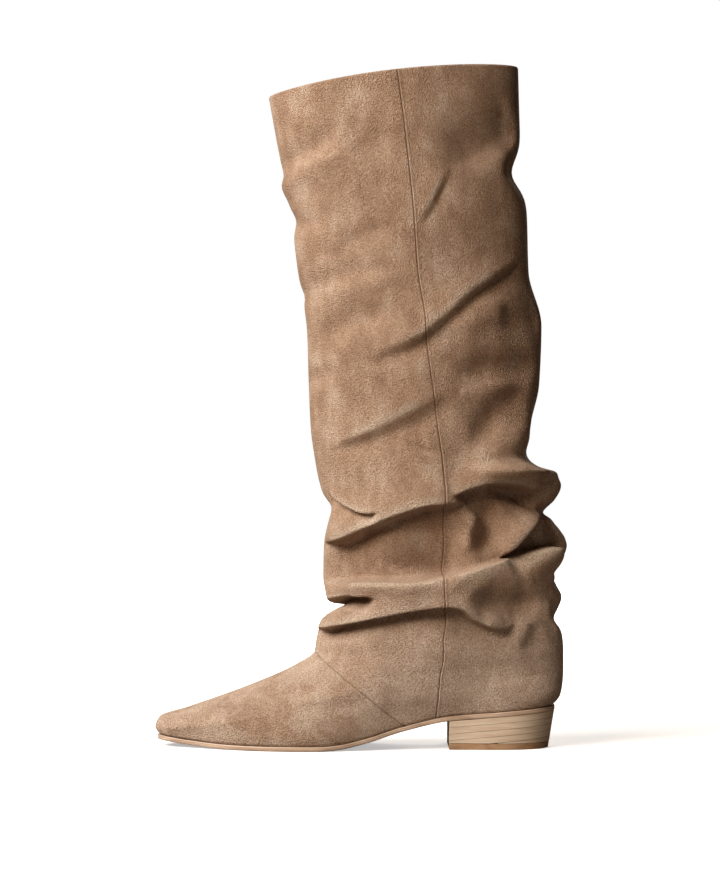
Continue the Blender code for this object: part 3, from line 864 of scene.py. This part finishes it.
def capped_faces(rows: int, columns: int) -> list[list[int]]:
    """Faces of a tube of closed loops, with a flat cap at each end.

    Args:
        rows: Number of loops.
        columns: Number of points in a loop.

    Returns:
        Point numbers of each face.
    """
    last = (rows - 1) * columns
    caps = [list(range(columns))[::-1], list(range(last, last + columns))]
    return grid_faces(rows, columns, closed=True).tolist() + caps


def mesh_object(
    name: str,
    points: Array,
    faces: Iterable[Sequence[int]],
    materials: Sequence[Material],
    attributes: dict[str, Array] | None = None,
) -> Piece:
    """A smooth mesh object in the scene.

    Args:
        name: The piece's name.
        points: Points in millimetres.
        faces: Point numbers of each face.
        materials: Materials in slot order.
        attributes: Numbers for each point, by attribute name.

    Returns:
        The new object.
    """
    mesh = bpy.data.meshes.new(name)
    mesh.from_pydata(np.asarray(points, float).reshape(-1, 3) * MM, [], faces)
    for key, values in (attributes or {}).items():
        layer = mesh.attributes.new(key, "FLOAT", "POINT")
        layer.data.foreach_set("value", np.asarray(values, np.float32).ravel())
    for material in materials:
        mesh.materials.append(material)
    mesh.shade_smooth()
    made = bpy.data.objects.new(name, mesh)
    bpy.context.scene.collection.objects.link(made)
    return made


def place(piece: Piece, slot: Slot, *nodes: str) -> None:
    """Ties a piece to the boot's body, hides the solids that it stands for and logs its material slot.

    Args:
        piece: The finished piece.
        slot: The record's material slot.
        nodes: Names of the solids that it replaces.
    """
    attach(piece, BODY)
    if nodes:
        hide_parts(*nodes)
    LOG.info("%s: %d faces, slot %s", piece.name, len(piece.data.polygons), slot.value)


class EdgeProfile(NamedTuple):
    """How a panel's skin dips to its edge: groove depth and width, the share of painted shade in the groove,
    and a raised lip with its share of painted highlight.
    """

    depth: float
    width: float
    lip: float = 0.0
    lip_at: float = 1.5
    lip_width: float = 1.0
    groove_shade: float = 1.0
    lip_highlight: float = 0.0

    def push(self, distance: Array) -> Array:
        """Outward push at distances from the edge."""
        lip = self.lip * bell(distance - self.lip_at, self.lip_width)
        return lip - self.depth * bell(distance, self.width)


@dataclass
class Upper:
    """The upper: vamp, front shaft and back shaft panels, closed by two side seams and a vamp seam."""

    form: UpperForm
    suede: Material
    lining: Material
    thread: Material
    thickness: float = 1.2
    side_columns: int = 128
    vamp_columns: int = 150
    vamp_rows: int = 78
    foot_step: float = 1.8
    slouch_step: float = 0.9
    calf_step: float = 3.0
    edge_steps: tuple[float, ...] = (0.0, 0.25, 0.5, 0.8, 1.2, 1.7, 2.4, 3.4)
    vamp_seam_top: tuple[float, float] = (-29.0, 62.3)
    vamp_seam_foot: tuple[float, float] = (27.8, 16.2)
    vamp_tip_turn: float = 2.0
    seam_turns: int = 361
    seam_rises: int = 241
    groove_shade_width: float = 0.35
    side_front: EdgeProfile = EdgeProfile(0.4, 0.4)
    side_back: EdgeProfile = EdgeProfile(0.4, 0.3, 0.3, 1.0, 0.6, lip_highlight=0.35)
    vamp_under: EdgeProfile = EdgeProfile(0.5, 0.5, groove_shade=0.4)
    vamp_over: EdgeProfile = EdgeProfile(0.3, 0.3, 0.4, 1.0, 0.7, groove_shade=0.2, lip_highlight=0.6)
    feather_tuck: EdgeProfile = EdgeProfile(0.7, 0.9)
    collar_roll: EdgeProfile = EdgeProfile(0.6, 0.5)
    thread_places: int = 1200
    thread_radius: float = 0.2
    thread_sides: int = 6
    stitch_pitch: float = 2.8
    stitch_length: float = 2.0
    stitch_sink: float = 0.42
    stitch_shares: tuple[float, ...] = (0.0, 0.04, 0.15, 0.5, 0.85, 0.96, 1.0)
    stitch_squareness: int = 4
    stitch_tip: float = 0.02
    steep: float = 0.9

    def edge_spaced(self, low: float, high: float, count: int, unit_mm: float) -> Array:
        """Places from low to high: fine steps at both ends and even steps between.

        Args:
            low: The first place.
            high: The last place.
            count: Number of even steps in the middle.
            unit_mm: Millimetres in one unit of the places.

        Returns:
            The places.
        """
        edge = np.array(self.edge_steps) / unit_mm
        middle = np.linspace(low + edge[-1], high - edge[-1], count + 1)[1:-1]
        return np.concatenate([low + edge, middle, (high - edge)[::-1]])

    def shaft_rises(self) -> Array:
        """Rises of a shaft panel's rows, closest together over the slouched ankle.

        Returns:
            The rises from the feather line to the collar.
        """
        edge = np.array(self.edge_steps)
        instep, calf, top = self.form.rise_of("instep"), self.form.rise_of("calf_low"), self.form.top
        foot = np.arange(edge[-1] + self.foot_step, instep, self.foot_step)
        slouch = np.arange(instep, calf, self.slouch_step)
        upper = np.arange(calf, top - edge[-1] - self.calf_step / 2, self.calf_step)
        return np.concatenate([edge, foot, slouch, upper, (top - edge)[::-1]])

    def vamp_seam_distance(self, points: Array) -> Array:
        """Signed distance from the slanted cut of the vamp seam, positive behind it.

        Args:
            points: Points of the skin.

        Returns:
            The distances in millimetres.
        """
        top, foot = np.array(self.vamp_seam_top), np.array(self.vamp_seam_foot)
        run = unit(foot - top)
        return (points[..., 0] - top[0]) * -run[1] + (points[..., 2] - top[1]) * run[0]

    def vamp_seam(self) -> tuple[Array, Array]:
        """Where the slanted cut crosses the skin.

        Returns:
            Rises from the feather line up, and the seam's turn at each.
        """
        turns = np.linspace(0.0, SEAM_TURN, self.seam_turns)
        rises = np.linspace(0.0, self.form.rise_of("ankle"), self.seam_rises)
        behind = self.vamp_seam_distance(self.form.plain(*np.meshgrid(turns, rises)))
        crossing = np.array([np.interp(0.0, row, turns) for row in behind])
        crossed = behind[:, 0] < 0
        return rises[crossed], crossing[crossed]

    def shell(self, name: str, turn: Array, rise: Array, edges: dict[str, EdgeProfile]) -> None:
        """One suede panel with its edges dipped into the seams and its lining inside.

        Args:
            name: The panel's name.
            turn: Grid of turns.
            rise: Grid of rises.
            edges: Profiles of its seams: side, vamp.
        """
        skin = self.form.skin(turn, rise)
        push = self.feather_tuck.push(rise) + self.collar_roll.push(self.form.top - rise)
        groove, crest = np.zeros(turn.shape), skin.crest
        distances = {
            "side": np.abs(np.abs(wrapped(turn)) - SEAM_TURN) * skin.degree,
            "vamp": np.abs(self.vamp_seam_distance(self.form.plain(turn, rise))),
        }
        for key, profile in edges.items():
            push += profile.push(distances[key])
            # Painted shade darkens the bottom of each seam groove, and a painted highlight pales its raised
            # lip
            groove = np.maximum(groove, profile.groove_shade * bell(distances[key], self.groove_shade_width))
            lip_highlight = profile.lip_highlight * bell(distances[key] - profile.lip_at, profile.lip_width)
            crest = np.maximum(crest, lip_highlight)
        points = skin.points + push[..., None] * skin.normals
        panel = mesh_object(
            name, points, grid_faces(*turn.shape), (self.suede, self.lining),
            {"crest": crest, "groove": groove},
        )
        wall = panel.modifiers.new("wall", "SOLIDIFY")
        wall.thickness = self.thickness * MM
        wall.offset = -1.0
        wall.material_offset = 1
        place(panel, Slot.SUEDE, "upper")

    def build_vamp(self) -> None:
        """The vamp: the foot in front of the slanted seam."""
        seam_rises, seam_turns = self.vamp_seam()
        tip_rise = float(np.interp(-self.vamp_tip_turn, -seam_turns, seam_rises))
        rises = self.edge_spaced(0.0, tip_rise, self.vamp_rows, 1.0)
        limits = np.interp(rises, seam_rises, seam_turns)
        shares = self.edge_spaced(-1.0, 1.0, self.vamp_columns, float(limits[0]) * BOOT.shaft_mm_per_degree)
        turn = limits[:, None] * shares[None, :]
        rise = np.broadcast_to(rises[:, None], turn.shape)
        self.shell("vamp", turn, rise, {"vamp": self.vamp_under})

    def build_front_shaft(self) -> None:
        """The front shaft panel, from the vamp seam up between the two side seams."""
        seam_rises, seam_turns = self.vamp_seam()
        turns = self.edge_spaced(-SEAM_TURN, SEAM_TURN, self.side_columns, BOOT.shaft_mm_per_degree)
        low = np.interp(-np.abs(turns), -seam_turns, seam_rises, left=0.0)
        blend = self.form.rise_of("ankle")
        turn, rise = np.meshgrid(turns, self.shaft_rises())
        lifted = low + rise / blend * (blend - low)
        edges = {"side": self.side_front, "vamp": self.vamp_over}
        self.shell("front_shaft", turn, np.where(rise < blend, lifted, rise), edges)

    def build_back_shaft(self) -> None:
        """The back shaft panel, from the heel seat up behind the side seams."""
        back = 2 * HALF_TURN - SEAM_TURN
        turns = self.edge_spaced(SEAM_TURN, back, self.side_columns, BOOT.shaft_mm_per_degree)
        turn, rise = np.meshgrid(turns, self.shaft_rises())
        self.shell("back_shaft", turn, rise, {"side": self.side_back})

    def build_side_thread(self, side: Side) -> None:
        """The stitches that show as dark ticks at the bottom of a side seam, as one piece.

        Args:
            side: Which seam.
        """
        rises = np.linspace(0.0, self.form.top, self.thread_places)
        skin = self.form.skin(np.full(rises.shape, SEAM_TURN * side.value), rises)
        line = skin.points - self.stitch_sink * skin.normals
        travel = travelled(line)
        shares = np.array(self.stitch_shares)
        swell = np.sqrt(np.clip(1 - (2 * shares - 1) ** self.stitch_squareness, self.stitch_tip, 1.0))
        turns = np.linspace(0.0, 2 * math.pi, self.thread_sides, endpoint=False)
        points, faces = [], []
        for start in np.arange(self.stitch_pitch, travel[-1] - self.stitch_pitch, self.stitch_pitch):
            at = start + shares * self.stitch_length
            middle = np.stack([np.interp(at, travel, line[:, axis]) for axis in range(3)], axis=-1)
            along = unit(middle[-1] - middle[0])
            aside = (0.0, 0.0, 1.0) if abs(along[2]) < self.steep else (1.0, 0.0, 0.0)
            across = unit(np.cross(along, aside))
            spokes = np.cos(turns)[:, None] * across + np.sin(turns)[:, None] * np.cross(along, across)
            strand = middle[:, None] + self.thread_radius * swell[:, None, None] * spokes
            first = len(points) * strand.shape[0] * strand.shape[1]
            faces.extend([first + i for i in face] for face in capped_faces(*strand.shape[:2]))
            points.append(strand.reshape(-1, 3))
        name = f"{side.name.lower()}_seam_thread"
        place(mesh_object(name, np.concatenate(points), faces, (self.thread,)), Slot.SUEDE)

    def build(self) -> None:
        """All pieces of the upper."""
        self.build_vamp()
        self.build_front_shaft()
        self.build_back_shaft()
        for side in Side:
            self.build_side_thread(side)


def end_spaced(low: float, high: float, count: int) -> Array:
    """Places from low to high, closer together towards both ends."""
    return low + (high - low) * (1 - np.cos(np.linspace(0.0, math.pi, count))) / 2


def capped_loft(name: str, loops: Sequence[Sequence[Point]], material: Material, bevel: float) -> Piece:
    """A closed solid skinned through loops, with flat caps and slightly broken edges.

    Args:
        name: The piece's name.
        loops: Loops of points, one a row.
        material: Its finish.
        bevel: Width of the broken edges in millimetres, or 0 for none.

    Returns:
        The new piece.
    """
    made = mesh_object(name, np.array(loops), capped_faces(len(loops), len(loops[0])), (material,))
    made.data.set_sharp_from_angle(angle=SHARP_EDGE)
    if bevel:
        broken = made.modifiers.new("broken_edge", "BEVEL")
        broken.width = bevel * MM
        broken.segments = 2
        broken.limit_method = "ANGLE"
        broken.harden_normals = True
    return made


@dataclass
class SoleLayer:
    """A flat layer that follows the sole line: the outsole or the insole.

    edge gives the rim from the bottom up, as insets and shares of the thickness.
    """

    sole: SolePlan
    name: str
    node: str
    slot: Slot
    material: Material
    margin: float
    toe_inset: float
    heel_inset: float
    lift: float
    thickness: float
    edge: tuple[tuple[float, float], ...]
    stations: int = 150
    least_half: float = 0.6

    def section(self, x: float) -> list[Point]:
        """The layer cut across at x.

        Args:
            x: Place along the boot.

        Returns:
            A closed loop of points.
        """
        half = max(float(self.sole.half_width(x, self.margin)), self.least_half)
        bottom = float(self.sole.value("under", x)) + self.lift
        swing = float(self.sole.value("swing", x))
        edge = [(max(half - inset, half / 2), bottom + share * self.thickness) for inset, share in self.edge]
        inner_side = [(x, swing + y, z) for y, z in edge]
        outer_side = [(x, swing - y, z) for y, z in reversed(edge)]
        return inner_side + outer_side

    def build(self) -> None:
        """The finished layer."""
        xs = end_spaced(BOOT.toe_x + self.toe_inset, BOOT.heel_x - self.heel_inset, self.stations)
        loops = [self.section(x) for x in xs]
        place(capped_loft(self.name, loops, self.material, 0.0), self.slot, self.node)


@dataclass
class StackedHeel:
    """The stacked heel: full lifts parallel to the seat, a wedge, and a flat top piece."""

    sole: SolePlan
    stack: Material
    rubber: Material
    breast_x: float = 58.5
    foot_back_x: float = 123.8
    margin: float = 0.4
    foot_width_share: float = 0.955
    lift_thickness: float = 4.2
    full_lifts: int = 4
    least_wedge: float = 0.5
    top_piece: float = 3.9
    side_points: int = 24
    back_points: int = 40
    broken_edge: float = 0.15
    glue_line: float = 0.2

    @property
    def length(self) -> float:
        """Length of the seat from the breast to the back."""
        return BOOT.heel_x - self.breast_x

    def outline(self, front_x: float) -> list[tuple[float, float]]:
        """The heel's outline under the seat, from the breast along the outer side and round the back.

        Args:
            front_x: Where the outline starts.

        Returns:
            Places in plan.
        """
        back_x = BOOT.heel_x + self.margin
        tail_x = BOOT.heel_x - BOOT.sole_tail * BOOT.sole_length
        sides = np.linspace(front_x, tail_x, self.side_points, endpoint=False)
        turn = np.linspace(0.0, math.pi / 2, self.back_points)
        xs = np.concatenate([sides, tail_x + (back_x - tail_x) * np.sin(turn)])
        halves = np.maximum(self.sole.half_width(xs, self.margin), 0.0)
        swings = self.sole.value("swing", xs)
        outer_side = list(zip(xs, swings - halves))
        inner_side = list(zip(xs[:-1], (swings + halves)[:-1]))
        return outer_side + inner_side[::-1]

    def seat(self, x: float) -> float:
        """The underside of the sole over the heel."""
        return BOOT.seat_front + (x - self.breast_x) / self.length * SEAT_RISE

    def point(self, x: float, y: float, z: float) -> Point:
        """A place of the outline brought down to height z, where the heel is shorter and narrower.

        Args:
            x: Place along the boot, under the seat.
            y: Place across the boot, under the seat.
            z: Height.

        Returns:
            The point.
        """
        low = 1 - z / self.seat(x)
        length_share = (self.foot_back_x - self.breast_x) / self.length
        behind = (x - self.breast_x) * (1 + (length_share - 1) * low)
        return self.breast_x + behind, y * (1 + (self.foot_width_share - 1) * low), z

    def lift(self, node: str, front_x: float, upper_depth: float, lower_depth: float) -> None:
        """One lift between two depths below the seat, trimmed flat where the top piece goes.

        Args:
            node: The solid that it replaces.
            front_x: Where its outline starts.
            upper_depth: Depth of its upper face.
            lower_depth: Depth of its lower face.
        """
        floor_z = self.top_piece + BOOT.gap
        outline = self.outline(front_x)
        low = [self.point(x, y, max(self.seat(x) - lower_depth, floor_z)) for x, y in outline]
        high = [self.point(x, y, self.seat(x) - upper_depth) for x, y in outline]
        place(capped_loft(f"stack_{node}", [low, high], self.stack, self.broken_edge), Slot.STACK, node)

    def build(self) -> None:
        """All lifts from the seat down, and the top piece."""
        for number in range(self.full_lifts):
            upper_depth = self.glue_line + number * self.lift_thickness
            lower_depth = (number + 1) * self.lift_thickness
            self.lift(f"heel_lift_{number + 1}", self.breast_x, upper_depth, lower_depth)
        wedge_depth = self.full_lifts * self.lift_thickness + self.glue_line
        thin_seat = wedge_depth + self.least_wedge + self.top_piece + BOOT.gap
        wedge_x = self.breast_x + (thin_seat - BOOT.seat_front) / (SEAT_RISE / self.length)
        self.lift("heel_wedge", wedge_x, wedge_depth, BOOT.seat_back)
        outline = self.outline(self.breast_x)
        loops = [[self.point(x, y, z) for x, y in outline] for z in (0.0, self.top_piece)]
        top_piece = capped_loft("rubber_top_piece", loops, self.rubber, self.broken_edge)
        place(top_piece, Slot.TOP_PIECE, "heel_top_piece")


@dataclass(frozen=True)
class Lamp:
    """One soft studio light: place, size, power and colour, aimed at the boot."""

    name: str
    location: Point
    size: float
    power: float
    colour: str
    aim: Point = (0.0, 0.0, 0.2)


@dataclass
class Studio:
    """The plain pale floor, soft light and the photograph's camera, with places in metres."""

    camera_location: Point = (0.0005, -2.0, 0.2046)
    frame_height_px: float = 870.0
    mm_per_px: float = 0.6585
    sensor: float = 36.0
    floor_half: float = 4.0
    lamps: tuple[Lamp, ...] = (
        Lamp("key", (-1.5, -0.88, 1.5), 1.4, 65.0, "#fffaf4"),
        Lamp("fill", (-0.95, -1.45, 1.0), 0.6, 16.0, "#ffe8ce"),
        Lamp("low_fill", (0.2, -0.3, 0.02), 0.2, 0.12, "#fff0e0", (0.11, 0.0, 0.02)),
        Lamp("far_fill", (0.3, 1.8, 1.1), 1.4, 30.0, "#fff4e8"),
    )
    ambient: float = 0.02
    surround: str = "#ffe8d0"
    bounce: str = "#5e544b"
    floor_glow: float = 0.45
    shadow_reach: float = 0.3
    white_reach: float = 0.9

    def build_camera(self) -> None:
        """The camera, level with the middle of the frame and square to the outer side."""
        data = bpy.data.cameras.new("photo_camera")
        data.sensor_width = self.sensor
        distance_mm = -self.camera_location[1] / MM
        data.lens = self.sensor * distance_mm / (self.frame_height_px * self.mm_per_px)
        camera = bpy.data.objects.new("photo_camera", data)
        camera.location = self.camera_location
        camera.rotation_euler = (math.pi / 2, 0.0, 0.0)
        bpy.context.scene.collection.objects.link(camera)
        bpy.context.scene.camera = camera

    def build_lamps(self) -> None:
        """The area lights, each turned to the boot."""
        for lamp in self.lamps:
            data = bpy.data.lights.new(lamp.name, "AREA")
            data.size = lamp.size
            data.energy = lamp.power
            data.color = linear(lamp.colour)[:3]
            light = bpy.data.objects.new(lamp.name, data)
            light.location = lamp.location
            towards = Vector(lamp.aim) - light.location
            light.rotation_euler = towards.to_track_quat("-Z", "Y").to_euler()
            light.visible_camera = False
            bpy.context.scene.collection.objects.link(light)

    def seen_or_lit(self, tree: Tree, seen: Socket, lit: Socket) -> Socket:
        """One shader for the camera and another for the light that reaches the boot."""
        ray = add_node(tree, "LightPath", {}, output="Is Camera Ray")
        return add_node(tree, "MixShader", {0: ray, 1: lit, 2: seen})

    def build_floor(self) -> None:
        """The pale floor, which isn't part of the boot."""
        half = self.floor_half / MM
        corners = [(-half, -half, 0.0), (half, -half, 0.0), (half, half, 0.0), (-half, half, 0.0)]
        material, tree, shader, coordinates = new_material("paper_floor_matt")
        distance = add_node(tree, "VectorMath", {"operation": "LENGTH", 0: coordinates}, output="Value")
        glow = (distance, self.shadow_reach, self.white_reach, self.floor_glow, 1.0)
        set_node(shader, {
            "Base Color": linear(WHITE),
            "Roughness": 1.0,
            "Emission Color": linear(WHITE),
            "Emission Strength": add_node(tree, "MapRange", dict(zip(MAP_INPUTS, glow))),
        })
        # The floor is burnt out to white in the photograph but throws little light back on the boot
        thrown = add_node(tree, "BsdfDiffuse", {"Color": linear(self.bounce)})
        surface = self.seen_or_lit(tree, shader.outputs[0], thrown)
        set_node(tree.nodes["Material Output"], {"Surface": surface})
        mesh_object("floor", np.array(corners), [(0, 1, 2, 3)], (material,))

    def build_world(self) -> None:
        """A white surround to the eye that lights the boot only faintly."""
        world = bpy.data.worlds.new("studio")
        world.use_nodes = True
        tree = world.node_tree
        tree.nodes.clear()
        seen = add_node(tree, "Background", {"Color": linear(WHITE), "Strength": 1.0})
        lit = add_node(tree, "Background", {"Color": linear(self.surround), "Strength": self.ambient})
        output = tree.nodes.new("ShaderNodeOutputWorld")
        set_node(output, {"Surface": self.seen_or_lit(tree, seen, lit)})
        bpy.context.scene.world = world
        bpy.context.scene.view_settings.view_transform = "Standard"

    def build(self) -> None:
        """The whole studio."""
        self.build_camera()
        self.build_lamps()
        self.build_floor()
        self.build_world()


def main() -> None:
    """Builds and dresses the boot piece by piece, then the studio."""
    logging.basicConfig(level=logging.INFO, format="%(message)s")
    sole = SolePlan()
    upper = Upper(UpperForm(sole), BrushedSuede().material(), LINING.material(), WaxedThread().material())
    outsole = SoleLayer(
        sole, "leather_outsole", "outsole", Slot.SOLE, SOLE_EDGE.material(),
        margin=0.6, toe_inset=-0.54, heel_inset=-0.54, lift=0.0, thickness=BOOT.sole_thickness,
        edge=((0.7, 0.0), (0.2, 0.07), (0.0, 0.22), (0.0, 0.55),
              (0.22, 0.62), (0.05, 0.69), (0.1, 0.9), (0.4, 1.0)),
    )
    insole = SoleLayer(
        sole, "sock_insole", "insole", Slot.INSOLE, SOCK.material(),
        margin=-2.6, toe_inset=3.6, heel_inset=3.1, lift=BOOT.sole_thickness + BOOT.gap, thickness=2.4,
        edge=((0.3, 0.0), (0.0, 0.12), (0.0, 0.85), (0.3, 1.0)),
    )
    heel = StackedHeel(sole, STACK.material(), TOP_PIECE.material())
    for assembly in (upper, outsole, insole, heel, Studio()):
        assembly.build()


if __name__ == "__main__":
    main()
